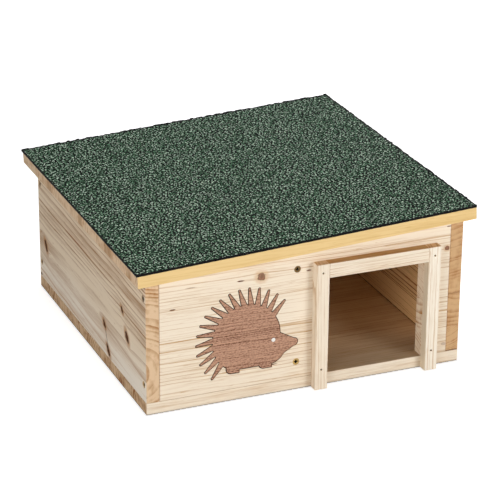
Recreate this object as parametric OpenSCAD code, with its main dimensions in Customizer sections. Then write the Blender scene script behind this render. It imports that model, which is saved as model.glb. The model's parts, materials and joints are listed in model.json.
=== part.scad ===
// Hedgehog house: a pine box with a framed doorway, an inner partition and a hinged felted roof.
// Origin at the centre of the floor's underside, front towards -Y, high side of the roof towards +X.

/* [Body] */
// Width over the side walls
body_w = 400; // [375:1:450]
// Depth over the front and back walls
body_d = 400; // [340:1:450]
// Height of the roof seat at the outer face of the low side wall
low_h = 165; // [155:1:220]
// Rise of the roof seat from the low side to the high side
rise = 21; // [8:1:45]
// Thickness of the floor panel
floor_t = 15; // [12:0.5:20]
// Thickness of the outer walls
wall_t = 16; // [14:0.5:20]

/* [Doorway] */
// Clear width of the doorway
door_w = 128; // [110:1:145]
// Clear height of the doorway above the floor
door_h = 127; // [105:1:135]
// Distance from the doorway to the outer face of the high side wall
door_side = 50; // [40:1:70]
// Width of the door posts
post_w = 16; // [12:0.5:24]
// Height of the lintel between the posts
lintel_h = 18; // [12:0.5:22]
// How far the posts and the lintel stand out from the front wall
frame_proud = 12; // [8:0.5:18]

/* [Partition] */
// Thickness of the partition
partition_t = 15; // [12:0.5:20]
// Distance from the doorway to the partition
corridor_side = 28; // [22:1:40]
// Passage left free between the partition and the back wall
passage_w = 130; // [110:1:160]
// Air gap above the partition
partition_drop = 4; // [1:0.5:15]

/* [Roof] */
// Thickness of the roof board
roof_t = 15; // [14:0.5:20]
// Thickness of the mineral felt
felt_t = 3; // [2:0.5:5]
// Overhang at the front
over_front = 10; // [4:1:30]
// Overhang at the back
over_back = 20; // [19:1:40]
// Overhang at each side
over_side = 12; // [4:1:30]
// Gap between the wall tops and the closed roof
seat_gap = 0.3; // [0.2:0.1:1]

/* [Motif] */
// Radius of the animal's round back
back_r = 42; // [36:0.5:44]
// Length of the spines beyond the back
spine_l = 20; // [12:0.5:22]
// Width of a spine at its root
spine_w = 9; // [6:0.5:10]
// Number of spines
spine_n = 17; // [10:1:18]
// Distance from the nose tip to the left door post
motif_gap = 18; // [12:1:24]
// Height of the animal's belly above the floor
belly_h = 24; // [18:1:34]
// Depth of the pocket in the front wall
pocket_d = 5; // [4:0.5:6]
// Thickness of the inlay plate in the pocket
inlay_t = 4; // [3:0.5:4]
// Gap that the pocket leaves round the inlay plate
inlay_gap = 1; // [0.7:0.05:1.1]
// How far the plate has settled in its pocket, to the right and down
inlay_set = 0.4; // [0:0.1:0.4]
// Diameter of the eye plug
eye_d = 5; // [3:0.5:7]

/* [Screws] */
// Length of the wall and partition screws
screw_l = 35; // [28:1:40]
// Length of the floor screws
floor_screw_l = 30; // [25:1:33]
// Diameter of the wood screws' heads
screw_head_d = 8.4; // [7:0.2:9]
// Diameter of the wood screws' shanks
screw_d = 4; // [3.5:0.1:4.5]
// Distance of the wall screws from the top and bottom of their wall
screw_inset = 21; // [16:1:30]
// Spacing of the floor screws along a wall
floor_screw_pitch = 125; // [90:1:140]
// Diameter of the frame brads
brad_d = 2.4; // [1.8:0.1:2.6]
// Length of the frame brads
brad_l = 22; // [16:1:24]
// Distance of the brads from the floor and from the top of their post
brad_inset = 11; // [8:1:20]

/* [Hinges] */
// Length of each hinge
hinge_l = 50; // [40:1:70]
// Width of a leaf from the pin's axis
leaf_w = 15; // [13:0.5:15.5]
// Thickness of a leaf
leaf_t = 1.5; // [1.2:0.1:2]
// Outer diameter of the knuckles
knuckle_d = 6; // [5:0.25:6.5]
// Diameter of the hinge pin
pin_d = 3; // [2:0.25:3.25]
// Distance from a hinge's middle to the outer face of the nearer side wall
hinge_inset = 75; // [60:1:110]
// Length of the hinge screws
hinge_screw_l = 12; // [9:0.5:13]
// Diameter of the hinge screws' heads
hinge_head_d = 5; // [4:0.25:5.5]
// Diameter of the hinge screws' shanks
hinge_screw_d = 2.5; // [2:0.1:3]

/* [Fits] */
// Clearance round screws, brads and plugs
fit = 0.1; // [0.05:0.05:0.2]
// Running clearance of the pin in its knuckles
pin_fit = 0.06; // [0.04:0.02:0.1]
// Gap between hinge parts that pass each other
hinge_gap = 0.3; // [0.2:0.1:0.5]

/* [Hidden] */
$fn = 48;
over = 1;

pine = [0.90, 0.80, 0.66];
pale_pine = [0.94, 0.86, 0.73];
warm_pine = [0.91, 0.78, 0.53];
brown_ply = [0.55, 0.38, 0.30];
zinc = [0.78, 0.68, 0.42];
steel = [0.72, 0.72, 0.70];

// Outer and inner faces of the walls
side_x = body_w / 2;
inner_x = side_x - wall_t;
front_y = -body_d / 2;
back_y = body_d / 2;
inner_y = back_y - wall_t;

// The roof seat is a plane that climbs from the low side to the high side
slope = atan(rise / body_w);
function seat_z(x) = low_h + rise * (x + side_x) / body_w;

// Doorway and its frame
door_right = side_x - door_side;
door_left = door_right - door_w;
door_top = floor_t + door_h;
frame_top = door_top + lintel_h;
frame_y = front_y - frame_proud;

// Partition
partition_right = door_left - corridor_side;
partition_x = partition_right - partition_t / 2;
partition_l = body_d - 2 * wall_t - passage_w;

// Roof board, measured along its slope
roof_w = (body_w + 2 * over_side) / cos(slope);
roof_d = body_d + over_front + over_back;

// Head, snout, belly and feet of the animal, measured from the middle of its back
nose_r = 4.5;
snout_l = 18;
nose_x = back_r + snout_l;
belly_trim = 4;
belly_y = back_r - belly_trim;
nose_y = nose_r - belly_y / 2;
head_r = 21;
head_set = 14;
head_x = back_r - head_set;
head_y = head_r - belly_y;
brow_y = head_y + head_r * 0.9;
foot_r = 6;
foot_drop = 4;
foot_l = foot_r * 1.6;
hind_foot_x = -back_r * 0.45;
fore_foot_x = head_x - foot_r;
spine_tip_r = 0.9;
spine_lean = 9;
spine_first_angle = 32;
spine_last_angle = 218;
motif_x = door_left - post_w - motif_gap - nose_x - nose_r;
motif_z = floor_t + belly_h + belly_y;
eye_ahead = 6;
eye_up = 9;
eye_x = head_x + eye_ahead;
eye_y = head_y + eye_up;
eye_floor = 0.5;
eye_l = inlay_t - eye_floor;

// Hinge axis, in the roof's own frame
knuckle_r = knuckle_d / 2;
axis_y = back_y + knuckle_r + hinge_gap;
axis_z = seat_gap - knuckle_r - hinge_gap;
hinge_x = (side_x - hinge_inset) / cos(slope);
knuckle_l = hinge_l / 3;
hinge_screw_x = hinge_l / 3;
hinge_screw_off = leaf_w * 0.6;

// Rim of a screw head, and how far screws and brads are sunk
head_rim = 0.2;
head_sink = 0.5;
brad_sink = 2;

// Cross slot in a screw head, as shares of the head's diameter
slot_l = 0.6;
slot_w = 0.22;

// Moves its children into the roof's frame: x up the slope, z square to the seat
module on_roof() {
    translate([0, 0, seat_z(0)]) rotate([0, -slope, 0]) children();
}

// Stands a profile drawn in x and z upright, from y0 towards the back
module upright(y0, depth) {
    translate([0, y0 + depth, 0]) rotate([90, 0, 0]) linear_extrude(depth) children();
}

// Wall outline between two x positions, from the floor up to the sloping seat
module wall_outline(x0, x1, drop = 0) {
    polygon([[x0, floor_t], [x1, floor_t], [x1, seat_z(x1) - drop], [x0, seat_z(x0) - drop]]);
}

// Countersunk screw with its head at z = 0 and its point below; grow gives the hole it sits in
module screw_body(l, head_d, d, grow = 0) {
    head_r = head_d / 2 + grow;
    shank_r = d / 2 + grow;
    neck = head_rim + (head_d - d) / 2;
    rotate_extrude() polygon([
        [0, grow], [head_r, grow], [head_r, -head_rim], [shank_r, -neck],
        [shank_r, d - l], [0, -l - grow]
    ]);
}

module screw(l, head_d, d) {
    difference() {
        screw_body(l, head_d, d);
        for (turn = [0, 90])
            rotate(turn) cube([head_d * slot_l, head_d * slot_w, d], center = true);
    }
}

// Sunk wood screw and the hole that it leaves in the boards
module wood_screw(l = screw_l) {
    translate([0, 0, -head_sink]) screw(l, screw_head_d, screw_d);
}

module wood_screw_hole(l = screw_l) {
    translate([0, 0, -head_sink]) {
        screw_body(l, screw_head_d, screw_d, fit);
        cylinder(h = head_sink + over, d = screw_head_d + 2 * fit);
    }
}

// Screws through a side wall into the ends of the front and back walls; side is -1 or 1
module at_side_screws(side) {
    for (y = [-1, 1], z = [floor_t + screw_inset, seat_z(side * side_x) - screw_inset])
        translate([side * side_x, y * (back_y - wall_t / 2), z]) rotate([0, side * 90, 0]) children();
}

// Screws through the front wall into the partition
module at_partition_screws() {
    for (z = [floor_t + screw_inset, seat_z(partition_x) - screw_inset])
        translate([partition_x, front_y, z]) rotate([90, 0, 0]) children();
}

// Screws from below the floor into the side walls, back wall, front wall and partition
module at_floor_screws() {
    for (side = [-1, 1], i = [-1:1])
        translate([side * (side_x - wall_t / 2), i * floor_screw_pitch, 0]) rotate([180, 0, 0]) children();
    for (i = [-1:1])
        translate([i * floor_screw_pitch, back_y - wall_t / 2, 0]) rotate([180, 0, 0]) children();
    for (x = [-inner_x + 2 * screw_inset, partition_x - 2 * screw_inset, (door_right + inner_x) / 2])
        translate([x, front_y + wall_t / 2, 0]) rotate([180, 0, 0]) children();
    for (i = [1, 2])
        translate([partition_x, -inner_y + i * partition_l / 3, 0]) rotate([180, 0, 0]) children();
}

// Brads through the posts into the front wall
module at_brads() {
    for (x = [door_left - post_w / 2, door_right + post_w / 2])
        for (z = [floor_t + brad_inset, frame_top - brad_inset])
            translate([x, frame_y + brad_sink, z]) rotate([-90, 0, 0]) children();
}

module brad_hole() {
    translate([0, 0, -brad_sink - over])
        cylinder(h = brad_l + brad_sink + fit + over, d = brad_d + 2 * fit);
}

// Animal outline about the middle of its back, facing +X; grow gives the pocket round it
module spine(angle, grow) {
    half = spine_w / 2 + grow;
    tip = [spine_l + back_r - spine_tip_r, spine_lean];
    rotate(angle) {
        polygon([
            [back_r - spine_w, -half], tip - [0, spine_tip_r + grow],
            tip + [0, spine_tip_r + grow], [back_r - spine_w, half]
        ]);
        translate(tip) circle(spine_tip_r + grow);
    }
}

module animal(grow = 0) {
    intersection() {
        circle(back_r + grow);
        translate([-2 * back_r, -belly_y - grow]) square(4 * back_r);
    }
    for (i = [0:spine_n - 1])
        spine(spine_first_angle + i * (spine_last_angle - spine_first_angle) / (spine_n - 1), grow);
    translate([head_x, head_y]) circle(head_r + grow);
    translate([nose_x, nose_y]) circle(nose_r + grow);
    polygon([
        [head_x - head_r, -belly_y - grow], [head_x, -belly_y - grow],
        [nose_x, nose_y - nose_r - grow], [nose_x, nose_y + nose_r + grow],
        [head_x + head_r / 2, brow_y + grow], [head_x - head_r, head_y]
    ]);
    for (x = [hind_foot_x, fore_foot_x])
        translate([x, -belly_y + foot_r - foot_drop]) {
            circle(foot_r + grow);
            translate([0, -foot_r - grow]) square([foot_l + grow, foot_r + grow]);
        }
}

// Places a drawing on the front wall's face, extruded from depth d0 to d1 behind it
module on_front(d0, d1) {
    translate([motif_x, front_y + d1, motif_z]) rotate([90, 0, 0]) linear_extrude(d1 - d0) children();
}

// Places a drawing on the inlay plate, where it lies in its pocket
module on_plate(d0, d1) {
    on_front(d0, d1) translate([inlay_set, -inlay_set]) children();
}

module at_eye() {
    translate([eye_x, eye_y]) children();
}

// Hinge pieces, drawn about the pin's axis: x along the pin, y to the back, z square to the roof
module at_hinge(side) {
    on_roof() translate([side * hinge_x, axis_y, axis_z]) children();
}

module knuckle(x0, l) {
    translate([x0, 0, 0]) rotate([0, 90, 0]) cylinder(h = l, d = knuckle_d);
}

module pin_bore() {
    translate([-hinge_l, 0, 0]) rotate([0, 90, 0]) cylinder(h = 2 * hinge_l, d = pin_d + 2 * pin_fit);
}

module hinge_screw() {
    screw(hinge_screw_l, hinge_head_d, hinge_screw_d);
}

module hinge_screw_hole() {
    screw_body(hinge_screw_l, hinge_head_d, hinge_screw_d, fit);
    cylinder(h = over, d = hinge_head_d + 2 * fit);
}

module at_wall_leaf_screws() {
    for (x = [-hinge_screw_x, hinge_screw_x])
        translate([x, leaf_t - knuckle_r - hinge_gap, -hinge_screw_off]) rotate([-90, 0, 0]) children();
}

module at_roof_leaf_screws() {
    for (x = [-hinge_screw_x, hinge_screw_x])
        translate([x, hinge_screw_off, knuckle_r + hinge_gap - leaf_t]) rotate([180, 0, 0]) children();
}

// Leaf on the back wall, with the two outer knuckles
module wall_leaf() {
    clear = knuckle_r + hinge_gap;
    difference() {
        union() {
            translate([-hinge_l / 2, -clear, -leaf_w]) cube([hinge_l, leaf_t, leaf_w]);
            for (x0 = [-hinge_l / 2, hinge_l / 2 - knuckle_l])
                knuckle(x0, knuckle_l);
        }
        translate([-knuckle_l / 2 - hinge_gap, -clear - over, -clear])
            cube([knuckle_l + 2 * hinge_gap, 2 * clear + 2 * over, 2 * clear]);
        pin_bore();
        at_wall_leaf_screws() hinge_screw_hole();
    }
}

// Leaf under the roof's overhang, with the middle knuckle
module roof_leaf() {
    clear = knuckle_r + hinge_gap;
    middle_l = knuckle_l - 2 * hinge_gap;
    difference() {
        union() {
            translate([-hinge_l / 2, clear, clear - leaf_t]) cube([hinge_l, leaf_w - clear, leaf_t]);
            translate([-middle_l / 2, 0, clear - leaf_t]) cube([middle_l, clear + over, leaf_t]);
            knuckle(-middle_l / 2, middle_l);
        }
        pin_bore();
        at_roof_leaf_screws() hinge_screw_hole();
    }
}

module hinge_pin() {
    translate([-hinge_l / 2, 0, 0]) rotate([0, 90, 0]) cylinder(h = hinge_l, d = pin_d);
}

// Sub-parts

module floor_panel() {
    color(pine) difference() {
        translate([-side_x, front_y, 0]) cube([body_w, body_d, floor_t]);
        at_floor_screws() wood_screw_hole(floor_screw_l);
    }
}

module side_wall(side) {
    difference() {
        upright(front_y, body_d) wall_outline(side * side_x, side * inner_x);
        at_side_screws(side) wood_screw_hole();
        at_floor_screws() wood_screw_hole(floor_screw_l);
    }
}

module left_wall() {
    color(pine) side_wall(-1);
}

module right_wall() {
    color(pine) side_wall(1);
}

module front_wall() {
    color(pine) difference() {
        upright(front_y, wall_t) difference() {
            wall_outline(-inner_x, inner_x);
            translate([door_left, floor_t - over]) square([door_w, door_h + over]);
        }
        on_front(-over, pocket_d) animal(inlay_gap);
        for (side = [-1, 1])
            at_side_screws(side) wood_screw_hole();
        at_partition_screws() wood_screw_hole();
        at_floor_screws() wood_screw_hole(floor_screw_l);
        at_brads() brad_hole();
    }
}

module back_wall() {
    color(pine) difference() {
        upright(inner_y, wall_t) wall_outline(-inner_x, inner_x);
        for (side = [-1, 1]) {
            at_side_screws(side) wood_screw_hole();
            at_hinge(side) at_wall_leaf_screws() hinge_screw_hole();
        }
        at_floor_screws() wood_screw_hole(floor_screw_l);
    }
}

module partition_wall() {
    color(pine) difference() {
        upright(-inner_y, partition_l)
            wall_outline(partition_right - partition_t, partition_right, partition_drop);
        at_partition_screws() wood_screw_hole();
        at_floor_screws() wood_screw_hole(floor_screw_l);
    }
}

module door_post(x0) {
    difference() {
        translate([x0, frame_y, 0]) cube([post_w, frame_proud, frame_top]);
        at_brads() brad_hole();
    }
}

module door_post_left() {
    color(pale_pine) door_post(door_left - post_w);
}

module door_post_right() {
    color(pale_pine) door_post(door_right);
}

module door_lintel() {
    color(pale_pine) translate([door_left, frame_y, door_top]) cube([door_w, frame_proud, lintel_h]);
}

module motif_inlay() {
    color(brown_ply) difference() {
        on_plate(pocket_d - inlay_t, pocket_d) animal();
        on_plate(0, pocket_d - inlay_t + eye_l) at_eye() circle(d = eye_d + 2 * fit);
    }
}

module motif_eye() {
    color("white") on_plate(pocket_d - inlay_t, pocket_d - inlay_t + eye_l) at_eye() circle(d = eye_d);
}

module left_wall_screws() {
    color(zinc) at_side_screws(-1) wood_screw();
}

module right_wall_screws() {
    color(zinc) at_side_screws(1) wood_screw();
}

module partition_screws() {
    color(zinc) at_partition_screws() wood_screw();
}

module floor_screws() {
    color(zinc) at_floor_screws() wood_screw(floor_screw_l);
}

module frame_brads() {
    color(steel) at_brads() cylinder(h = brad_l, d = brad_d);
}

module hinge_left_wall_leaf() {
    color(steel) at_hinge(-1) wall_leaf();
}

module hinge_left_roof_leaf() {
    color(steel) at_hinge(-1) roof_leaf();
}

module hinge_left_pin() {
    color(steel) at_hinge(-1) hinge_pin();
}

module hinge_right_wall_leaf() {
    color(steel) at_hinge(1) wall_leaf();
}

module hinge_right_roof_leaf() {
    color(steel) at_hinge(1) roof_leaf();
}

module hinge_right_pin() {
    color(steel) at_hinge(1) hinge_pin();
}

module hinge_wall_screws() {
    color(steel) for (side = [-1, 1])
        at_hinge(side) at_wall_leaf_screws() hinge_screw();
}

module hinge_roof_screws() {
    color(steel) for (side = [-1, 1])
        at_hinge(side) at_roof_leaf_screws() hinge_screw();
}

module roof_board() {
    color(warm_pine) difference() {
        on_roof() translate([-roof_w / 2, front_y - over_front, seat_gap]) cube([roof_w, roof_d, roof_t]);
        for (side = [-1, 1])
            at_hinge(side) at_roof_leaf_screws() hinge_screw_hole();
    }
}

module roof_felt() {
    color("darkgreen") on_roof()
        translate([-roof_w / 2, front_y - over_front, seat_gap + roof_t]) cube([roof_w, roof_d, felt_t]);
}

floor_panel();
left_wall();
right_wall();
front_wall();
back_wall();
partition_wall();
door_post_left();
door_post_right();
door_lintel();
motif_inlay();
motif_eye();
left_wall_screws();
right_wall_screws();
partition_screws();
floor_screws();
frame_brads();
hinge_left_wall_leaf();
hinge_left_roof_leaf();
hinge_left_pin();
hinge_right_wall_leaf();
hinge_right_roof_leaf();
hinge_right_pin();
hinge_wall_screws();
hinge_roof_screws();
roof_board();
roof_felt();
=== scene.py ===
import json
import math

import bmesh
import bpy
import numpy as np
from mathutils import Matrix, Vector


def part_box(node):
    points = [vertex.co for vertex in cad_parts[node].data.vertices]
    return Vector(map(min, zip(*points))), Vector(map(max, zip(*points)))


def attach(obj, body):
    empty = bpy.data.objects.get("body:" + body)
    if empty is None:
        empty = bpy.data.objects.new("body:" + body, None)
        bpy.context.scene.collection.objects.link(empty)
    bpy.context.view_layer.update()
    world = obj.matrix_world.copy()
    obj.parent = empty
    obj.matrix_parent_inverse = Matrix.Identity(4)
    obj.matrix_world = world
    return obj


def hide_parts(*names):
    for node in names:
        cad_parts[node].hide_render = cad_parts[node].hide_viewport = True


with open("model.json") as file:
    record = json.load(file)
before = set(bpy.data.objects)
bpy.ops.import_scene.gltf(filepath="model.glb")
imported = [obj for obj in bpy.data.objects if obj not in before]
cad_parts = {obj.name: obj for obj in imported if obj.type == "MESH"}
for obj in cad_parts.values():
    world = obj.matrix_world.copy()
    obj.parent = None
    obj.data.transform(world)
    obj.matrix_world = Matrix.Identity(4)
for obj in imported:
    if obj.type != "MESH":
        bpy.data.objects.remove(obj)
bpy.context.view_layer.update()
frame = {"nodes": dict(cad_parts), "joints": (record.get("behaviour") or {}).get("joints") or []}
nodes = frame["nodes"]
mm = 1000.0  # millimetres in a metre
white = (255, 255, 255)
print("frame loaded:", len(nodes), "nodes")


# node helpers: a value that is a socket is linked, anything else is set on the socket
def tone(red, green, blue):  # screen colour 0 to 255 as the linear value a socket holds
    share = np.array([red, green, blue]) / 255
    linear = np.where(share <= 0.04045, share / 12.92, ((share + 0.055) / 1.055) ** 2.4)
    return (*linear.tolist(), 1.0)


def plug(tree, socket, value):
    if isinstance(value, bpy.types.NodeSocket):
        tree.links.new(value, socket)
    else:
        socket.default_value = value


def put(tree, kind, inputs=None, **settings):
    node = tree.nodes.new(kind)
    for key, value in settings.items():
        setattr(node, key, value)
    for key, value in (inputs or {}).items():
        plug(tree, node.inputs[key], value)
    return node


def calc(tree, operation, *values):
    return put(tree, "ShaderNodeMath", dict(enumerate(values)), operation=operation).outputs[0]


def plus(tree, first, second):
    return calc(tree, "ADD", first, second)


def minus(tree, first, second):
    return calc(tree, "SUBTRACT", first, second)


def times(tree, first, second):
    return calc(tree, "MULTIPLY", first, second)


def larger(tree, first, second):
    return calc(tree, "MAXIMUM", first, second)


def scaled(tree, value, factor, offset):  # value times factor, plus offset
    return calc(tree, "MULTIPLY_ADD", value, factor, offset)


def swing(tree, value, size):  # 0 to 1 becomes minus to plus half of size
    return scaled(tree, value, size, -size / 2)


def ease(tree, value, low, high, start=0.0, end=1.0):  # soft step from low to high
    inputs = {"Value": value, "From Min": low, "From Max": high, "To Min": start, "To Max": end}
    return put(tree, "ShaderNodeMapRange", inputs, interpolation_type="SMOOTHSTEP").outputs[0]


def mixTone(tree, share, first, second, **settings):
    inputs = {0: share, 6: first, 7: second}
    return put(tree, "ShaderNodeMix", inputs, data_type="RGBA", **settings).outputs[2]


def split(tree, vector):
    return put(tree, "ShaderNodeSeparateXYZ", {0: vector}).outputs


def join(tree, first, second, third):
    return put(tree, "ShaderNodeCombineXYZ", {0: first, 1: second, 2: third}).outputs[0]


def enlarge(tree, vector, factor):
    return put(tree, "ShaderNodeVectorMath", {0: vector, "Scale": factor}, operation="SCALE").outputs[0]


def noise(tree, vector, cells, detail=2.0, rough=0.5):  # cells are cycles per mm on each axis
    stretched = put(tree, "ShaderNodeVectorMath", {0: vector, 1: cells}, operation="MULTIPLY").outputs[0]
    inputs = {"Vector": stretched, "Scale": 1.0, "Detail": detail, "Roughness": rough}
    return put(tree, "ShaderNodeTexNoise", inputs).outputs[0]


def draw(tree, first, second):  # three random numbers for a pair of values
    vector = join(tree, first, second, 0.0)
    randomNode = put(tree, "ShaderNodeTexWhiteNoise", {"Vector": vector}, noise_dimensions="2D")
    return put(tree, "ShaderNodeSeparateColor", {0: randomNode.outputs["Color"]}).outputs


def newGroup(name, inputs, outputs):
    tree = bpy.data.node_groups.new(name, "ShaderNodeTree")
    kinds = {float: "NodeSocketFloat", tuple: "NodeSocketColor", list: "NodeSocketVector"}
    for label, value in inputs.items():
        socket = tree.interface.new_socket(label, in_out="INPUT", socket_type=kinds[type(value)])
        socket.default_value = value
    for label, kind in outputs.items():
        tree.interface.new_socket(label, in_out="OUTPUT", socket_type=kinds[kind])
    return tree, tree.nodes.new("NodeGroupInput").outputs, tree.nodes.new("NodeGroupOutput").inputs


def placeGroup(tree, group, inputs):
    return put(tree, "ShaderNodeGroup", inputs, node_tree=group).outputs


# a knot, a resin streak or a thin dark line of painted shade: an ellipse on the board, with a core, a rim
# and grain that bends round it
knotShape = {"wobbleCells": (0.23, 0.31, 0.31), "wobble": 0.9, "core": (1.1, 0.75), "rimStart": (0.45, 0.9),
             "rimEnd": (2.1, 1.0), "fadeAlong": 0.16, "fadeAcross": 0.6, "leastBend": 0.05}


def makeKnotMark(shape):
    tree, given, out = newGroup("knotMark", {
        "Vector": [0.0, 0.0, 0.0], "Core": 0.0, "Rim": 0.0, "Spot Along": 0.0, "Spot Across": 0.0,
        "Half Along": 4.0, "Half Across": 4.0, "Bend": 0.7, "Strength": 1.0, "Slope": 0.0,
    }, {"Vector": list, "Core": float, "Rim": float})
    along, across, deep = split(tree, given["Vector"])
    offAlong = minus(tree, along, given["Spot Along"])
    offAcross = minus(tree, across, given["Spot Across"])
    slanted = minus(tree, offAcross, times(tree, offAlong, given["Slope"]))
    u = calc(tree, "DIVIDE", offAlong, given["Half Along"])
    v = calc(tree, "DIVIDE", slanted, given["Half Across"])
    uSquare = times(tree, u, u)
    vSquare = times(tree, v, v)
    wobble = swing(tree, noise(tree, given["Vector"], shape["wobbleCells"]), shape["wobble"])
    distance = plus(tree, calc(tree, "SQRT", plus(tree, uSquare, vSquare)), wobble)
    core = times(tree, ease(tree, distance, *shape["core"]), given["Strength"])
    knotRim = times(tree, ease(tree, distance, *shape["rimStart"]), ease(tree, distance, *shape["rimEnd"]))
    knotRim = times(tree, knotRim, given["Strength"])
    # a streak bends no grain and is dark all over, a knot is darkest round its rim
    isKnot = calc(tree, "GREATER_THAN", given["Bend"], shape["leastBend"])
    rim = put(tree, "ShaderNodeMix", {0: isKnot, 2: core, 3: knotRim}).outputs[0]
    fade = scaled(tree, vSquare, shape["fadeAcross"], 1.0)
    fade = scaled(tree, uSquare, shape["fadeAlong"], fade)
    push = calc(tree, "DIVIDE", times(tree, offAcross, given["Bend"]), fade)
    plug(tree, out["Vector"], join(tree, along, minus(tree, across, push), deep))
    plug(tree, out["Core"], larger(tree, given["Core"], core))
    plug(tree, out["Rim"], larger(tree, given["Rim"], rim))
    return tree


# solid pine in mm: year rings are cylinders round a pith of their own in every glued stave,
# drifting along the board, so faces show long lines and ends show arcs
# a noise is its cycles per mm along, across and deep, then its detail and roughness
pineShape = {
    "secondDraw": 31.7, "staveJump": 371.0, "seedJump": 53.0,  # keep staves and boards unlike each other
    "leanSpread": 0.4, "driftAcross": 0.05, "driftDeep": 0.06, "pithNear": 5.0, "pithSpread": 22.0,
    "slowNoise": ((0.005, 0.02, 0.02),), "slowWave": 7.0,
    "quickNoise": ((0.014, 0.11, 0.11),), "quickWave": 1.6,
    "gapLeast": 0.65, "gapSpread": 0.7, "beat": 0.83, "beatShift": 0.45,
    "lateFull": 0.96, "lateFall": (1.0, 0.95), "ringLeast": 0.15, "ringSpread": 0.85,
    "fibreNoise": ((0.025, 0.62, 0.62), 3.0, 0.7), "bandNoise": ((0.004, 0.05, 0.05), 1.0),
    "streakNoise": ((0.007, 0.42, 0.42), 2.0, 0.55), "speckNoise": ((0.36, 0.66, 0.66), 2.0, 0.7),
    "bandMiddle": 0.43, "canalNoise": ((0.06, 0.75, 0.75), 1.0), "canalStep": (0.69, 0.78), "canal": 0.5,
    "staveShade": 0.35, "seamStep": (0.55, 0.1),
    "endRise": (0.2, 0.97), "endFall": (1.0, 0.97), "endRingLeast": 0.2, "endRingSpread": 0.9,
    "blotchNoise": ((0.05, 0.05, 0.09), 3.0, 0.6), "blotch": 3.0, "endStaveShade": 0.2,
    "halo": 0.8, "ringHeight": 0.5, "roughLeast": 0.65, "roughSpread": 0.25,
}


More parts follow.
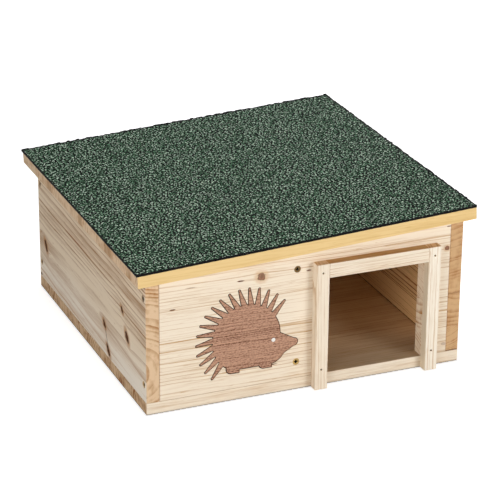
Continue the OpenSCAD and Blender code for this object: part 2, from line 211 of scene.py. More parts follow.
def makePineGrain(shape):
    tree, given, out = newGroup("pineGrain", {
        "Vector": [0.0, 0.0, 0.0], "Core": 0.0, "Rim": 0.0, "End": 0.0, "Seed": 0.0,
        "Stave Width": 40.0, "Stave Shift": 0.0, "Stave Spread": 1.0, "Ring Gap": 4.0, "Contrast": 0.6,
        "Fibre": 1.6, "Band": 0.7, "Streak": 1.0, "Speck": 0.0, "Late": 0.7, "Lean": 60.0,
        "Seam": 1.1, "End Seam": 0.4, "Pale": tone(247, 232, 210), "Dark": tone(206, 170, 128),
        "End Pale": tone(226, 194, 155), "End Dark": tone(186, 142, 98),
        "Knot": tone(166, 122, 88), "Knot Edge": tone(98, 64, 40), "Halo": tone(196, 146, 98),
    }, {"Color": tuple, "Height": float, "Rough": float})
    along, across, deep = split(tree, given["Vector"])
    seed, width = given["Seed"], given["Stave Width"]

    # the stave, its six random numbers and a spot in the noise of its own
    count = calc(tree, "DIVIDE", plus(tree, across, given["Stave Shift"]), width)
    stave = calc(tree, "FLOOR", count)
    inStave = calc(tree, "FRACT", count)
    staveMiddle = plus(tree, stave, 0.5)
    first = draw(tree, staveMiddle, seed)
    second = draw(tree, staveMiddle, plus(tree, seed, shape["secondDraw"]))
    jump = join(tree, times(tree, stave, shape["staveJump"]), 0.0, times(tree, seed, shape["seedJump"]))
    spot = put(tree, "ShaderNodeVectorMath", {0: given["Vector"], 1: jump}, operation="ADD").outputs[0]

    # the pith leans to one side of the stave, lies before or behind the board and drifts along it
    lean = swing(tree, first[0], 2.0)
    lean = plus(tree, calc(tree, "SIGN", lean), times(tree, lean, shape["leanSpread"]))
    middle = minus(tree, times(tree, staveMiddle, width), given["Stave Shift"])
    middle = scaled(tree, lean, given["Lean"], middle)
    driftAcross = times(tree, along, shape["driftAcross"])
    pithAcross = scaled(tree, minus(tree, second[0], 0.5), driftAcross, middle)
    side = calc(tree, "SIGN", minus(tree, first[1], 0.5))
    away = times(tree, side, scaled(tree, first[2], shape["pithSpread"], shape["pithNear"]))
    driftDeep = times(tree, along, shape["driftDeep"])
    pithDeep = scaled(tree, minus(tree, second[1], 0.5), driftDeep, away)

    # year rings: the wavy distance to the pith, counted in gaps of uneven width
    offAcross = minus(tree, across, pithAcross)
    offDeep = minus(tree, deep, pithDeep)
    squares = plus(tree, times(tree, offAcross, offAcross), times(tree, offDeep, offDeep))
    radius = calc(tree, "SQRT", squares)
    for wave in ("slow", "quick"):
        ripple = noise(tree, spot, *shape[wave + "Noise"])
        radius = plus(tree, radius, swing(tree, ripple, shape[wave + "Wave"]))
    gap = times(tree, given["Ring Gap"], scaled(tree, second[2], shape["gapSpread"], shape["gapLeast"]))
    year = calc(tree, "DIVIDE", radius, gap)
    beat = calc(tree, "SINE", times(tree, year, shape["beat"]))
    year = plus(tree, year, times(tree, beat, shape["beatShift"]))
    inYear = calc(tree, "FRACT", year)
    yearDraw = draw(tree, calc(tree, "FLOOR", year), plus(tree, stave, seed))[0]
    ring = times(tree, ease(tree, inYear, given["Late"], shape["lateFull"]),
                 ease(tree, inYear, *shape["lateFall"]))
    ring = times(tree, ring, scaled(tree, yearDraw, shape["ringSpread"], shape["ringLeast"]))

    # the face: rings, fibres, broad bands, streaks, specks and resin canals, and a thin seam between staves
    fibre = noise(tree, spot, *shape["fibreNoise"])
    band = noise(tree, spot, *shape["bandNoise"])
    streak = noise(tree, spot, *shape["streakNoise"])
    speck = noise(tree, spot, *shape["speckNoise"])
    canal = ease(tree, noise(tree, spot, *shape["canalNoise"]), *shape["canalStep"])
    staveShade = times(tree, minus(tree, second[2], 0.5), given["Stave Spread"])
    shade = times(tree, ring, given["Contrast"])
    shade = scaled(tree, minus(tree, fibre, 0.5), given["Fibre"], shade)
    shade = scaled(tree, minus(tree, band, shape["bandMiddle"]), given["Band"], shade)
    shade = scaled(tree, minus(tree, streak, 0.5), given["Streak"], shade)
    shade = scaled(tree, minus(tree, speck, 0.5), given["Speck"], shade)
    shade = scaled(tree, canal, shape["canal"], shade)
    shade = scaled(tree, staveShade, shape["staveShade"], shade)
    offMiddle = calc(tree, "ABSOLUTE", minus(tree, inStave, 0.5))
    toSeam = times(tree, minus(tree, 0.5, offMiddle), width)
    seam = ease(tree, toSeam, *shape["seamStep"])
    shade = larger(tree, shade, times(tree, seam, given["Seam"]))
    face = mixTone(tree, shade, given["Pale"], given["Dark"], clamp_factor=False, clamp_result=True)

    # the end: softer arcs and blotches
    arc = times(tree, ease(tree, inYear, *shape["endRise"]), ease(tree, inYear, *shape["endFall"]))
    arc = times(tree, arc, scaled(tree, yearDraw, shape["endRingSpread"], shape["endRingLeast"]))
    blotch = swing(tree, noise(tree, spot, *shape["blotchNoise"]), shape["blotch"])
    endShade = scaled(tree, staveShade, shape["endStaveShade"], plus(tree, arc, blotch))
    endShade = larger(tree, endShade, times(tree, seam, given["End Seam"]))
    end = mixTone(tree, endShade, given["End Pale"], given["End Dark"], clamp_factor=False,
                  clamp_result=True)

    bare = mixTone(tree, given["End"], face, end)
    knotTone = mixTone(tree, given["Rim"], given["Knot"], given["Knot Edge"])
    halo = mixTone(tree, times(tree, given["Rim"], shape["halo"]), bare, given["Halo"])
    plug(tree, out["Color"], mixTone(tree, given["Core"], halo, knotTone))
    plug(tree, out["Height"], minus(tree, scaled(tree, ring, shape["ringHeight"], fibre), seam))
    plug(tree, out["Rough"], scaled(tree, fibre, shape["roughSpread"], shape["roughLeast"]))
    return tree


knotMark = makeKnotMark(knotShape)
pineGrain = makePineGrain(pineShape)
print("knot and grain groups made")


def startMaterial(name):
    material = bpy.data.materials.new(name)
    material.use_nodes = True
    tree = material.node_tree
    tree.nodes.clear()
    shader = tree.nodes.new("ShaderNodeBsdfPrincipled")
    output = tree.nodes.new("ShaderNodeOutputMaterial")
    tree.links.new(shader.outputs[0], output.inputs[0])
    return material, tree, shader.inputs


def millimetres(tree):  # a point's place on the object, in mm
    return enlarge(tree, tree.nodes.new("ShaderNodeTexCoord").outputs["Object"], mm)


def bump(tree, shader, height, strength, distance):
    node = put(tree, "ShaderNodeBump", {"Height": height, "Strength": strength, "Distance": distance})
    tree.links.new(node.outputs[0], shader["Normal"])


def boxInMm(nodeName):
    return [np.array(corner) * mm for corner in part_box(nodeName)]


def addPiece(name, points, faces):
    mesh = bpy.data.meshes.new(name)
    mesh.from_pydata(points, [], faces)
    mesh.update()
    piece = bpy.data.objects.new(name, mesh)
    bpy.context.scene.collection.objects.link(piece)
    return piece


def wear(nodeName, material):
    data = nodes[nodeName].data
    data.materials.clear()
    data.materials.append(material)


# a board's own values go to the grain group's inputs of these names
toneLabels = {"pale": "Pale", "dark": "Dark", "endPale": "End Pale", "endDark": "End Dark",
              "knot": "Knot", "knotEdge": "Knot Edge", "halo": "Halo"}
valueLabels = {"seed": "Seed", "stave": "Stave Width", "shift": "Stave Shift", "spread": "Stave Spread",
               "ringGap": "Ring Gap", "contrast": "Contrast", "fibre": "Fibre", "band": "Band",
               "streak": "Streak", "speck": "Speck", "late": "Late", "lean": "Lean",
               "seam": "Seam", "endSeam": "End Seam"}
woodFinish = {"endStep": (0.6, 0.9), "faceStep": (0.4, 0.8), "scorchAndShadeEdge": 0.3, "specular": 0.08,
              "bump": 0.35, "bumpDepth": 0.0002}


def addMarks(tree, vector, marks):
    core, rim = 0.0, 0.0
    for spotAlong, spotAcross, halfAlong, halfAcross, bend, strength, *slope in marks:
        mark = placeGroup(tree, knotMark, {
            "Vector": vector, "Core": core, "Rim": rim, "Spot Along": spotAlong, "Spot Across": spotAcross,
            "Half Along": halfAlong, "Half Across": halfAcross, "Bend": bend, "Strength": strength,
            "Slope": slope[0] if slope else 0.0})
        vector, core, rim = mark["Vector"], mark["Core"], mark["Rim"]
    return vector, core, rim


def scorchAndShadeMask(tree, xyz, order, look):  # the pocket's walls, below the face and inside the box of the piece in the pocket, for scorch and painted shade
    along, across, deep = order
    low, high = boxInMm(look["pocket"])
    centre = (low + high) / 2
    reach = (high - low) / 2 + look["pocketRim"]
    mask = ease(tree, xyz[deep], low[deep] - woodFinish["scorchAndShadeEdge"], low[deep])
    mask = times(tree, mask, calc(tree, "LESS_THAN", xyz[deep], high[deep] + look["pocketRim"]))
    for axis in (along, across):
        off = calc(tree, "ABSOLUTE", minus(tree, xyz[axis], centre[axis]))
        mask = times(tree, mask, calc(tree, "LESS_THAN", off, reach[axis]))
    return mask


def pineMaterial(name, nodeName, look):
    material, tree, shader = startMaterial(name)
    order = ["xyz".index(letter) for letter in look["axes"]]
    along, across, deep = order
    xyz = split(tree, millimetres(tree))
    normal = split(tree, tree.nodes.new("ShaderNodeTexCoord").outputs["Normal"])
    low, high = boxInMm(nodeName)
    vector = join(tree, xyz[along], xyz[across], minus(tree, xyz[deep], (low + high)[deep] / 2))
    vector, core, rim = addMarks(tree, vector, look.get("marks", []))
    end = ease(tree, calc(tree, "ABSOLUTE", normal[along]), *woodFinish["endStep"])
    broad = ease(tree, calc(tree, "ABSOLUTE", normal[deep]), *woodFinish["faceStep"])
    inputs = {"Vector": vector, "Core": core, "Rim": rim, "End": end}
    inputs.update({label: tone(*look[key]) for key, label in toneLabels.items() if key in look})
    inputs.update({label: look[key] for key, label in valueLabels.items() if key in look})
    if "sapwood" in look:  # paler wood towards the lower edge of the board
        sap = ease(tree, xyz[across], *look["sapwood"])
        for label, key in (("Pale", "sapPale"), ("Dark", "sapDark")):
            inputs[label] = mixTone(tree, sap, inputs[label], tone(*look[key]))
    grain = placeGroup(tree, pineGrain, inputs)
    wood = grain["Color"]
    if "foot" in look:  # painted contact shadow: darker towards the lowest edge
        wood = mixTone(tree, ease(tree, xyz[2], look["foot"], 0.0), wood, tone(*look["soil"]))
    if "tread" in look:  # painted shade: the upper face is greyer towards the doorway
        doorwayShade = times(tree, ease(tree, xyz[1], *look["tread"]), broad)
        wood = mixTone(tree, times(tree, doorwayShade, look["treadShare"]), wood, tone(*look["soil"]))
    if "pocket" in look:  # the pocket's cut edges are darkened: scorch, and painted shade in the gap
        wood = mixTone(tree, scorchAndShadeMask(tree, xyz, order, look), wood, tone(*look["scorchAndShadeTone"]))
    tint = mixTone(tree, broad, tone(*look.get("sideTint", white)), tone(*look.get("faceTint", white)))
    if "innerShadeTint" in look:  # painted shade: the face inside the house is darker
        inner = ease(tree, times(tree, normal[deep], look["innerSide"]), *woodFinish["faceStep"])
        tint = mixTone(tree, inner, tint, tone(*look["innerShadeTint"]))
    plug(tree, shader["Base Color"], mixTone(tree, 1.0, wood, tint, blend_type="MULTIPLY"))
    plug(tree, shader["Roughness"], grain["Rough"])
    shader["Specular IOR Level"].default_value = woodFinish["specular"]
    bump(tree, shader, grain["Height"], woodFinish["bump"], woodFinish["bumpDepth"])
    return material


# a board is a copy of its node with the triangles merged and the long edges rounded, holes left sharp
# merge, longEdge and round are metres, flat and corner are degrees
boardShape = {"merge": 0.00001, "flat": 0.5, "corner": 40.0, "longEdge": 0.01, "round": 0.0006,
              "segments": 2}


def easeBoard(nodeName, look):
    words = nodeName.split("_")
    name = words[0] + "".join(word.capitalize() for word in words[1:])
    longEdge = look.get("longEdge", boardShape["longEdge"])
    corner = math.radians(boardShape["corner"])
    solid = bmesh.new()
    solid.from_mesh(nodes[nodeName].data)
    bmesh.ops.remove_doubles(solid, verts=solid.verts, dist=boardShape["merge"])
    bmesh.ops.dissolve_limit(solid, angle_limit=math.radians(boardShape["flat"]), verts=solid.verts,
                             edges=solid.edges)
    longEdges = [edge for edge in solid.edges
                 if edge.calc_length() > longEdge and edge.calc_face_angle(0.0) > corner]
    bmesh.ops.bevel(solid, geom=longEdges, offset=boardShape["round"], offset_type="OFFSET",
                    segments=boardShape["segments"], profile=0.5, affect="EDGES", clamp_overlap=True)
    solid.verts.index_update()
    points = [vert.co[:] for vert in solid.verts]
    faces = [[vert.index for vert in face.verts] for face in solid.faces]
    solid.free()
    board = addPiece(name, points, faces)
    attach(board, look.get("body", "house"))
    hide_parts(nodeName)
    return board


# axes are the grain's along, across and deep; lengths are mm, longEdge is metres
# marks are knots, streaks and thin dark lines of painted shade: along, across, half length, half width,
# bend, strength and slope
boards = {
    "front_wall": {
        "axes": "xzy", "seed": 202.0, "stave": 39.2, "shift": -9.2, "ringGap": 5.2, "contrast": 1.0,
        "spread": 0.8, "endPale": (255, 234, 206), "endDark": (220, 179, 137),
        "knot": (150, 104, 78), "knotEdge": (104, 66, 46), "halo": (222, 186, 146),
        # the darker pocket walls are scorch and painted shade in the gap round the plate
        "longEdge": 0.04, "pocket": "motif_inlay", "pocketRim": 2.0, "scorchAndShadeTone": (58, 42, 32),
        "marks": [(-58.5, 151.6, 5.5, 5.2, 0.45, 0.9), (-58.0, 152.0, 2.0, 2.0, 0.0, 0.6),
                  (179.6, 151.1, 3.0, 3.0, 0.4, 0.95), (180.2, 25.6, 3.0, 2.0, 0.2, 0.4),
                  (-84.4, 150.3, 5.0, 0.9, 0.0, 1.0), (-145.5, 151.5, 7.0, 0.6, 0.0, 0.5),
                  (-167.3, 127.9, 4.0, 0.8, 0.0, 1.0), (-45.8, 37.9, 10.0, 0.7, 0.0, 1.0),
                  (-28.2, 53.5, 4.5, 0.7, 0.0, 0.9), (1.0, 150.3, 3.5, 0.9, 0.0, 0.9),
                  # the last three marks are thin dark lines where the side walls and the floor meet this
                  # wall: painted shade
                  (181.0, 178.2, 3.0, 0.8, 0.0, 0.9), (-183.7, 90.0, 0.6, 300.0, 0.0, 0.4),
                  (183.7, 90.0, 0.6, 300.0, 0.0, 0.4), (0.0, 15.3, 600.0, 0.6, 0.0, 0.3)]},
    "left_wall": {
        "axes": "yzx", "seed": 5.0, "stave": 400.0, "shift": 140.0, "ringGap": 8.0, "contrast": 0.9,
        "lean": 0.0, "band": 2.6, "fibre": 1.2, "streak": 0.2, "late": 0.4,
        "pale": (246, 226, 199), "dark": (176, 134, 96),
        "endPale": (226, 195, 159), "endDark": (186, 143, 102),
        "knot": (86, 48, 18), "knotEdge": (44, 24, 10), "halo": (190, 138, 88),
        "sapwood": (84.0, 14.0), "sapPale": (255, 244, 228), "sapDark": (222, 194, 166),
        "marks": [(-119.3, 99.9, 4.4, 3.6, 0.4, 1.0, 0.5), (-135.3, 72.4, 6.6, 6.0, 0.4, 1.0, 0.6),
                  (-55.1, 54.2, 5.2, 4.4, 0.4, 1.0, 0.4), (-68.1, 25.3, 6.4, 5.4, 0.4, 1.0, 0.6),
                  (-62.0, 40.0, 4.6, 3.0, 0.0, 0.6, 2.3), (172.0, 66.3, 6.2, 6.2, 0.4, 1.0, 0.7),
                  # the last mark is a dark spot at the back where the wall meets the floor
                  (194.5, 19.0, 3.0, 2.0, 0.0, 0.9)]},
    "right_wall": {
        "axes": "yzx", "seed": 98.0, "stave": 43.5, "shift": -4.0, "ringGap": 4.6, "contrast": 1.1,
        "spread": 1.2, "seam": 1.2, "endSeam": 0.3, "fibre": 0.9, "streak": 0.55, "band": 0.4,
        "dark": (156, 106, 64), "endPale": (210, 171, 127), "endDark": (185, 139, 95),
        # the darker inner face is painted shade inside the house
        "faceTint": (254, 234, 203), "innerShadeTint": (250, 219, 175), "innerSide": -1.0,
        "marks": [(-197.0, 91.0, 4.0, 2.0, 0.5, 0.5), (92.0, 120.0, 6.0, 6.0, 0.6, 0.95),
                  # the last mark is a dark line where the wall meets the floor: painted shade
                  (0.0, 15.6, 420.0, 1.1, 0.0, 0.9)]},
    "back_wall": {
        "axes": "xzy", "seed": 11.0, "stave": 42.0, "shift": 7.0, "ringGap": 5.4, "contrast": 0.9,
        "marks": [(70.0, 61.0, 6.0, 5.0, 0.6, 0.95), (-120.0, 118.0, 4.0, 4.0, 0.6, 0.9)]},
    "partition_wall": {
        "axes": "yzx", "seed": 14.0, "stave": 41.0, "shift": 3.0, "ringGap": 5.2, "contrast": 0.9,
        "marks": [(-40.0, 96.0, 5.0, 5.0, 0.6, 0.9)]},
    "floor_panel": {
        "axes": "xyz", "seed": 17.0, "stave": 48.0, "shift": 22.0, "ringGap": 5.0, "contrast": 0.6,
        # the tint on the broad faces darkens the floor inside the house: painted shade
        "endPale": (226, 194, 156), "endDark": (166, 120, 80), "faceTint": (250, 234, 214),
        # the darker lowest edge is painted contact shadow, and the greyer upper face by the doorway is
        # painted shade
        "soil": (112, 100, 86), "foot": 2.2, "tread": (-110.0, -190.0), "treadShare": 0.35},
    "door_post_left": {
        "slot": "pale_pine", "axes": "zxy", "seed": 21.0, "stave": 80.0, "shift": 40.0, "ringGap": 4.2,
        "contrast": 1.2},
    "door_post_right": {
        "slot": "pale_pine", "axes": "zxy", "seed": 24.0, "stave": 80.0, "shift": -110.0, "ringGap": 4.2,
        "contrast": 1.0, "pale": (253, 242, 224), "dark": (214, 182, 144), "sideTint": (253, 246, 234)},
    "door_lintel": {
        "slot": "pale_pine", "axes": "xzy", "seed": 27.0, "stave": 80.0, "shift": -110.0, "ringGap": 3.6,
        # the darker tint on the narrow faces, the top among them, is painted shadow under the roof's
        # overhang
        "contrast": 0.8, "sideTint": (206, 174, 130)},
    "roof_board": {
        "slot": "roof_pine", "body": "roof", "axes": "xyz", "seed": 30.0, "stave": 62.0, "shift": 12.0,
        "ringGap": 6.4, "contrast": 0.8, "faceTint": (250, 244, 255),
        "pale": (241, 208, 148), "dark": (222, 182, 114),
        "endPale": (242, 214, 180), "endDark": (208, 168, 126),
        "knot": (172, 124, 80), "knotEdge": (150, 104, 62), "halo": (214, 172, 130),
        "marks": [(-212.0, 112.0, 9.0, 9.0, 0.2, 0.5), (-212.0, -8.0, 9.0, 6.0, 0.2, 0.5),
                  (-212.0, -107.0, 9.0, 12.0, 0.2, 0.6), (-212.0, -180.0, 9.0, 7.0, 0.2, 0.4)]},
}
for boardName, boardLook in boards.items():
    board = easeBoard(boardName, boardLook)
    board.data.materials.append(pineMaterial(boardName + "_pine", boardName, boardLook))
print("boards:", len(boards))


# the dark tint on the plate's sides is scorch and painted shade in the gap round it
inlayLook = {"axes": "xzy", "seed": 41.0, "stave": 400.0, "shift": 10.0, "ringGap": 2.4, "contrast": 0.7,
             "lean": 0.0, "late": 0.3, "fibre": 1.4, "speck": 2.8,
             "pale": (198, 155, 129), "dark": (122, 82, 64), "sideTint": (64, 54, 46)}
wear("motif_inlay", pineMaterial("brown_ply", "motif_inlay", inlayLook))
print("motif inlay dressed")


# white plug: a disc with a low dome, whose height falls with the square of the radius
plugLook = {"dome": 0.0005, "rings": 14, "turns": 48, "pale": (252, 250, 246), "shade": (238, 234, 226),
            "mottle": ((0.9, 0.9, 0.9), 3.0), "roughLeast": 0.25, "roughSpread": 0.2}


def makePlug(look):
    low, high = (np.array(corner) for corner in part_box("motif_eye"))
    centre = (low + high) / 2
    radius = (high[0] - low[0]) / 2
    n, rings = look["turns"], look["rings"]
    share = np.linspace(1.0, 0.0, rings, endpoint=False)[:, None]
    turn = np.linspace(0, 2 * np.pi, n, endpoint=False)[None, :]
    x = centre[0] + radius * share * np.cos(turn)
    z = centre[2] + radius * share * np.sin(turn)
    y = np.broadcast_to(low[1] - look["dome"] * (1 - share ** 2), x.shape)
    dome = np.stack([x, y, z], -1).reshape(-1, 3)
    back = np.stack([x[0], np.full(n, high[1]), z[0]], -1)
    tips = np.array([[centre[0], low[1] - look["dome"], centre[2]], [centre[0], high[1], centre[2]]])
    points = np.concatenate([dome, back, tips])
    here = np.arange(n)
    after = (here + 1) % n
    ring = np.arange(rings - 1)[:, None] * n
    lastRing, backRing = (rings - 1) * n, rings * n
    frontTip, backTip = backRing + n, backRing + n + 1
    bands = np.stack([ring + here, ring + after, ring + n + after, ring + n + here], -1).reshape(-1, 4)
    skirt = np.stack([backRing + here, backRing + after, after, here], -1)
    frontCap = np.stack([lastRing + here, lastRing + after, np.full(n, frontTip)], -1)
    backCap = np.stack([backRing + after, backRing + here, np.full(n, backTip)], -1)
    faces = bands.tolist() + skirt.tolist() + frontCap.tolist() + backCap.tolist()
    piece = addPiece("eyePlug", points.tolist(), faces)
    piece.data.polygons.foreach_set("use_smooth", np.ones(len(faces), bool))
    piece.data.update()
    return piece


def plugMaterial(look):
    material, tree, shader = startMaterial("white_plug")
    mottle = noise(tree, millimetres(tree), *look["mottle"])
    plug(tree, shader["Base Color"], mixTone(tree, mottle, tone(*look["pale"]), tone(*look["shade"])))
    plug(tree, shader["Roughness"], scaled(tree, mottle, look["roughSpread"], look["roughLeast"]))
    return material


eyePlug = makePlug(plugLook)
eyePlug.data.materials.append(plugMaterial(plugLook))
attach(eyePlug, "house")
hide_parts("motif_eye")
print("white plug made")


# mineral felt: a sheet whose top is a grid of grit heights, with a rolled bitumen edge that wanders
# lengths are metres; density is grains per mm, and bare, bareSoft and ragged are mm
feltLook = {
    "seed": 7, "cells": 300, "grit": 0.0004, "wander": 0.0004, "waves": (2, 3, 5, 9, 14), "waveLeast": 0.4,
    "lip": {"left": 0.0015, "front": 0.001, "right": 0.001, "back": 0.0025},
    "fray": {"left": 0.0001, "front": 0.0002, "right": 0.0006, "back": 0.0008}, "frayLump": 3,
    "roll": 0.0008, "rollSteps": [(0.6, 0.25), (0.92, 0.7), (1.0, 1.3)],  # outwards and down, in rolls
    "density": 0.64, "roughLeast": 0.6, "roughSpread": 0.3, "specular": 0.05, "bump": 0.6,
    "bumpDepth": 0.0006,
    "stops": [(0.0, (0, 1, 0)), (0.62, (4, 10, 6)), (0.7, (36, 70, 47)), (0.815, (107, 154, 119)),
              (1.0, (231, 254, 231))],
    "bare": {"left": 0.0, "front": 0.6, "right": 2.6, "back": 2.4}, "bareSoft": 0.5,
    "raggedNoise": ((0.2, 0.2, 0.2), 3.0, 0.7), "ragged": 2.4,
    "clumpNoise": ((0.28, 0.28, 0.28), 2.0, 0.6), "bitumen": ((9, 9, 10), (26, 26, 27)),
}


def smoothWave(rng, points, look):  # a closed wave from a few random sines
    count = np.array(look["waves"])
    phase = rng.uniform(0, 2 * np.pi, len(count))
    weight = rng.uniform(look["waveLeast"], 1.0, len(count))
    at = np.linspace(0, 2 * np.pi, points, endpoint=False)[:, None]
    return look["wander"] * (np.sin(at * count + phase) * weight).sum(1) / weight.sum()


def makeFelt(look):
    rng = np.random.default_rng(look["seed"])
    n, lip, roll, wander = look["cells"], look["lip"], look["roll"], look["wander"]

    # the roof's own axes: up the slope along the hinge, backwards, and square to the roof
    corners = np.array([vertex.co for vertex in nodes["roof_felt"].data.vertices])
    hinge = frame["joints"][0]["axis"]
    upSlope = np.array([-hinge[0], 0.0, -hinge[2]])
    upSlope /= np.linalg.norm(upSlope)
    backwards = np.array([0.0, 1.0, 0.0])
    normal = np.array([-upSlope[2], 0.0, upSlope[0]])
    across, depth, height = corners @ upSlope, corners @ backwards, corners @ normal

    # the top: random heights less the mean of their neighbours
    u = np.linspace(across.min() + roll - lip["left"], across.max() - roll + lip["right"], n + 1)
    v = np.linspace(depth.min() + roll - lip["front"], depth.max() - roll + lip["back"], n + 1)
    gridU, gridV = np.meshgrid(u, v, indexing="ij")
    grit = rng.uniform(-1, 1, gridU.shape)
    grit -= sum(np.roll(grit, step, axis) for step in (-1, 1) for axis in (0, 1)) / 4
    grit *= look["grit"] / np.abs(grit).max()
    level = height.max() - look["grit"]
    top = level + grit

    # the rim runs round the grid, front, right, back and left, and its lumps fray the edge
    i = np.arange(n)
    rimU = np.concatenate([i, 0 * i + n, n - i, 0 * i])
    rimV = np.concatenate([0 * i, i, 0 * i + n, n - i])
    size = len(rimU)
    outward = np.stack([(rimU == n) * 1.0 - (rimU == 0), (rimV == n) * 1.0 - (rimV == 0)], -1)
    wave = smoothWave(rng, size, look)
    lumps = np.repeat(rng.uniform(-1, 1, (size // look["frayLump"], 2)), look["frayLump"], axis=0)
    lumps *= np.repeat([look["fray"][side] for side in ("front", "right", "back", "left")], n)[:, None]
    wave = (wave + lumps[:, 0])[:, None]
    rimHeight = level + lumps[:, 1]
    top[rimU, rimV] = rimHeight
    base = np.stack([gridU[rimU, rimV], gridV[rimU, rimV]], -1)

    # rings of points roll the edge over and go straight down to the board
    rings = [np.column_stack([base + outward * (roll * out - wander + wave), rimHeight - drop * roll])
             for out, drop in look["rollSteps"]]
    rings.append(np.column_stack([base + outward * (roll - wander + wave), np.full(size, height.min())]))
    flat = np.concatenate([np.stack([gridU, gridV, top], -1).reshape(-1, 3)] + rings)
    points = flat[:, :1] * upSlope + flat[:, 1:2] * backwards + flat[:, 2:] * normal

    cell = (i[:, None] * (n + 1) + i[None, :]).ravel()
    quads = [np.stack([cell, cell + n + 1, cell + n + 2, cell + 1], -1)]
    ids = [rimU * (n + 1) + rimV] + [(n + 1) ** 2 + k * size + np.arange(size) for k in range(len(rings))]
    for upper, lower in zip(ids, ids[1:]):
        quads.append(np.stack([upper, lower, np.roll(lower, -1), np.roll(upper, -1)], -1))
    underside = ids[-1][::-1].tolist()
    return addPiece("roofFelt", points.tolist(), np.concatenate(quads).tolist() + [underside])


def feltMaterial(look):
    material, tree, shader = startMaterial("mineral_felt")
    spot = millimetres(tree)
    xyz = split(tree, spot)

    # grains lie in fours, and each four holds one of every shade, so that the grit looks even from afar
    grit = put(tree, "ShaderNodeTexVoronoi", {"Vector": spot, "Scale": look["density"]}, feature="F1",
               voronoi_dimensions="2D").outputs
    share = put(tree, "ShaderNodeSeparateColor", {0: grit["Color"]}).outputs
    grain = split(tree, enlarge(tree, grit["Position"], look["density"]))
    column, row = (calc(tree, "FLOOR", grain[axis]) for axis in (0, 1))
    fourX, fourY = (calc(tree, "FLOOR", times(tree, value, 0.5)) for value in (column, row))
    inFourX = minus(tree, column, times(tree, fourX, 2.0))
    inFourY = minus(tree, row, times(tree, fourY, 2.0))
    turn = calc(tree, "FLOOR", times(tree, draw(tree, fourX, fourY)[0], 4.0))
    rank = plus(tree, scaled(tree, inFourY, 2.0, inFourX), turn)
    rank = calc(tree, "FRACT", times(tree, rank, 0.25))
    ramp = put(tree, "ShaderNodeValToRGB", {0: scaled(tree, share[0], 0.25, rank)})
    stops = look["stops"]
    ramp.color_ramp.elements[0].color = tone(*stops[0][1])
    ramp.color_ramp.elements[1].color = tone(*stops[-1][1])
    for at, shade in stops[1:-1]:
        ramp.color_ramp.elements.new(at).color = tone(*shade)

    # bitumen without grit along the edges
    low, high = boxInMm("roof_felt")
    edges = {"left": minus(tree, xyz[0], low[0]), "front": minus(tree, xyz[1], low[1]),
             "right": minus(tree, high[0], xyz[0]), "back": minus(tree, high[1], xyz[1])}
    ragged = swing(tree, noise(tree, spot, *look["raggedNoise"]), look["ragged"])
    bare = 0.0
    for side, inward in edges.items():
        width, soft = look["bare"][side], look["bareSoft"]
        bare = larger(tree, bare, ease(tree, plus(tree, inward, ragged), width + soft, width - soft))
    black, grey = (tone(*shade) for shade in look["bitumen"])
    bitumen = mixTone(tree, noise(tree, spot, *look["clumpNoise"]), black, grey)
    plug(tree, shader["Base Color"], mixTone(tree, bare, ramp.outputs[0], bitumen))
    plug(tree, shader["Roughness"], scaled(tree, share[1], look["roughSpread"], look["roughLeast"]))
    shader["Specular IOR Level"].default_value = look["specular"]
    bump(tree, shader, grit["Distance"], look["bump"], look["bumpDepth"])
    return material


roofFelt = makeFelt(feltLook)
roofFelt.data.materials.append(feltMaterial(feltLook))
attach(roofFelt, "roof")
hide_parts("roof_felt")
print("roof felt made")


metalFinish = {"cloudNoise": ((0.6, 0.6, 0.6), 4.0, 0.6), "scratchNoise": ((0.4, 3.0, 3.0), 2.0),
               "roughSpread": 0.3, "bump": 0.2, "bumpDepth": 0.00005}
# rowHeight, columnWidth and recessDepth are mm, and each row and column of screws draws its own tarnish
screwLook = {"bright": (214, 184, 120), "dull": (140, 108, 60), "rough": 0.22,
             "tarnish": (96, 74, 50), "tarnishShare": 0.9, "rowHeight": 60.0, "firstRow": 16.0,
             "columnWidth": 90.0,
             # the recess tone is painted shade in the cross of each head
             "recess": (34, 25, 16), "recessDepth": 1.0, "recessStep": (-0.1, 0.3)}
hingeLook = {"bright": (178, 180, 183), "dull": (120, 122, 125), "rough": 0.3}
bradLook = {"bright": (92, 84, 76), "dull": (48, 42, 36), "rough": 0.4}


# no two screws have tarnished alike, and the cross in each head is darkened with painted shade
def tarnishAndShadeHeads(tree, spot, color, look):
    x, y, z = split(tree, spot)
    row = calc(tree, "FLOOR", scaled(tree, z, 1 / look["rowHeight"], look["firstRow"]))
    column = calc(tree, "FLOOR", calc(tree, "DIVIDE", y, look["columnWidth"]))
    worn = times(tree, draw(tree, row, column)[0], look["tarnishShare"])
    color = mixTone(tree, worn, color, tone(*look["tarnish"]))
    wallFace = boxInMm("right_wall")[1][0]
    sideways = larger(tree, calc(tree, "ABSOLUTE", x), calc(tree, "ABSOLUTE", y))
    outer = larger(tree, minus(tree, sideways, wallFace - look["recessDepth"]),
                   minus(tree, look["recessDepth"], z))
    return mixTone(tree, ease(tree, outer, *look["recessStep"]), tone(*look["recess"]), color)


def metalMaterial(name, look):
    material, tree, shader = startMaterial(name)
    spot = millimetres(tree)
    cloud = noise(tree, spot, *metalFinish["cloudNoise"])
    scratch = noise(tree, spot, *metalFinish["scratchNoise"])
    color = mixTone(tree, cloud, tone(*look["bright"]), tone(*look["dull"]))
    if "recess" in look:
        color = tarnishAndShadeHeads(tree, spot, color, look)
    plug(tree, shader["Base Color"], color)
    plug(tree, shader["Roughness"], scaled(tree, scratch, metalFinish["roughSpread"], look["rough"]))
    shader["Metallic"].default_value = 1.0
    bump(tree, shader, scratch, metalFinish["bump"], metalFinish["bumpDepth"])
    return material


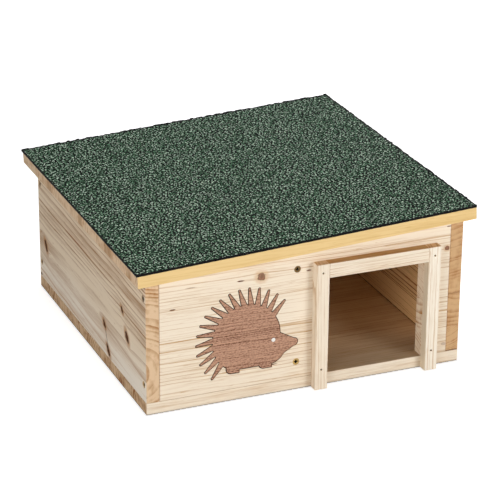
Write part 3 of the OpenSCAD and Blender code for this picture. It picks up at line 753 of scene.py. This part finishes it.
zincScrew = metalMaterial("zinc_screw", screwLook)
hingeSteel = metalMaterial("hinge_steel", hingeLook)
bradSteel = metalMaterial("brad_steel", bradLook)
for screwName in ("left_wall_screws", "right_wall_screws", "partition_screws", "floor_screws"):
    wear(screwName, zincScrew)
wear("frame_brads", bradSteel)
for hingeName in [name for name in nodes if name.startswith("hinge_")]:
    wear(hingeName, hingeSteel)
print("metal dressed")


# a pale floor that keeps the shadow and shows white, a white world and four soft lamps
# glow is the floor's own light near the object and far from it, glowStep where it changes, in metres
stageLook = {"reach": 6.0, "under": 0.0008, "tone": (232, 232, 232), "rough": 0.9,
             "glowStep": (0.7, 1.6), "glow": (0.72, 1.0), "worldLight": 0.13}
lamps = {"topLamp": {"at": (-0.1, 0.2, 2.2), "aim": (0, 0, 0.1), "size": 1.0, "watts": 18.0},
         "frontLamp": {"at": (1.15, -2.05, 0.4), "aim": (0, 0, 0.1), "size": 1.2, "watts": 27.9},
         "backLamp": {"at": (1.3, 2.3, 0.5), "aim": (0, 0, 0.1), "size": 1.6, "watts": 22.0},
         "leftLamp": {"at": (-1.4, -1.35, 0.42), "aim": (0, 0, 0.1), "size": 1.0, "watts": 12.2}}


def seenDirectly(tree):  # one where the camera, gloss or glass looks, zero for the light on the object
    path = tree.nodes.new("ShaderNodeLightPath").outputs
    looked = larger(tree, path["Is Camera Ray"], path["Is Glossy Ray"])
    return larger(tree, looked, path["Is Transmission Ray"])


def makeFloor(look):
    reach = look["reach"]
    corners = [(-reach, -reach, 0), (reach, -reach, 0), (reach, reach, 0), (-reach, reach, 0)]
    sheet = addPiece("floorSheet", corners, [(0, 1, 2, 3)])
    sheet.location.z = -look["under"]
    material, tree, shader = startMaterial("floor_white")
    shader["Base Color"].default_value = tone(*look["tone"])
    shader["Roughness"].default_value = look["rough"]
    shader["Specular IOR Level"].default_value = 0.0
    shader["Emission Color"].default_value = tone(*white)
    place = tree.nodes.new("ShaderNodeTexCoord").outputs["Object"]
    away = put(tree, "ShaderNodeVectorMath", {0: place}, operation="LENGTH").outputs["Value"]
    glow = ease(tree, away, *look["glowStep"], *look["glow"])  # full white where the lamps no longer reach
    plug(tree, shader["Emission Strength"], times(tree, seenDirectly(tree), glow))
    sheet.data.materials.append(material)


def makeWorld(look):
    world = bpy.data.worlds.new("studio")
    bpy.context.scene.world = world
    world.use_nodes = True
    tree = world.node_tree
    background = tree.nodes["Background"].inputs
    background["Color"].default_value = tone(*white)
    light = look["worldLight"]
    plug(tree, background["Strength"], scaled(tree, seenDirectly(tree), 1.0 - light, light))


def standAt(name, data, at, right, back):  # a lamp or camera looks along minus back
    holder = bpy.data.objects.new(name, data)
    columns = np.column_stack([right, np.cross(back, right), back, at])
    holder.matrix_world = Matrix(np.vstack([columns, [0, 0, 0, 1]]).tolist())
    bpy.context.scene.collection.objects.link(holder)
    return holder


def makeLamp(name, look):
    lamp = bpy.data.lights.new(name, "AREA")
    lamp.shape = "DISK"
    lamp.size = look["size"]
    lamp.energy = look["watts"]
    at = np.array(look["at"])
    back = at - look["aim"]
    back /= np.linalg.norm(back)
    right = np.cross([0.0, 0.0, 1.0], back)
    standAt(name, lamp, at, right / np.linalg.norm(right), back)


makeFloor(stageLook)
makeWorld(stageLook)
for lampName, lampLook in lamps.items():
    makeLamp(lampName, lampLook)


# metres and degrees, lens and sensor in mm
photoView = {"lens": 160.1, "sensor": 36.0, "target": (0.0106, 0.0, 0.0956), "distance": 2.761,
             "azimuth": -22.72, "elevation": 22.88, "roll": 0.53}


def makeCamera(view):
    azimuth, elevation, roll = (math.radians(view[key]) for key in ("azimuth", "elevation", "roll"))
    level = math.cos(elevation)
    back = np.array([math.sin(azimuth) * level, -math.cos(azimuth) * level, math.sin(elevation)])
    right = np.array([math.cos(azimuth), math.sin(azimuth), 0.0])
    right = right * math.cos(roll) + np.cross(back, right) * math.sin(roll)
    camera = bpy.data.cameras.new("photoCamera")
    camera.lens = view["lens"]
    camera.sensor_width = view["sensor"]
    at = np.array(view["target"]) + back * view["distance"]
    bpy.context.scene.camera = standAt("photoCamera", camera, at, right, back)


makeCamera(photoView)
bpy.context.scene.view_settings.view_transform = "Standard"
print("stage, lamps and camera set")
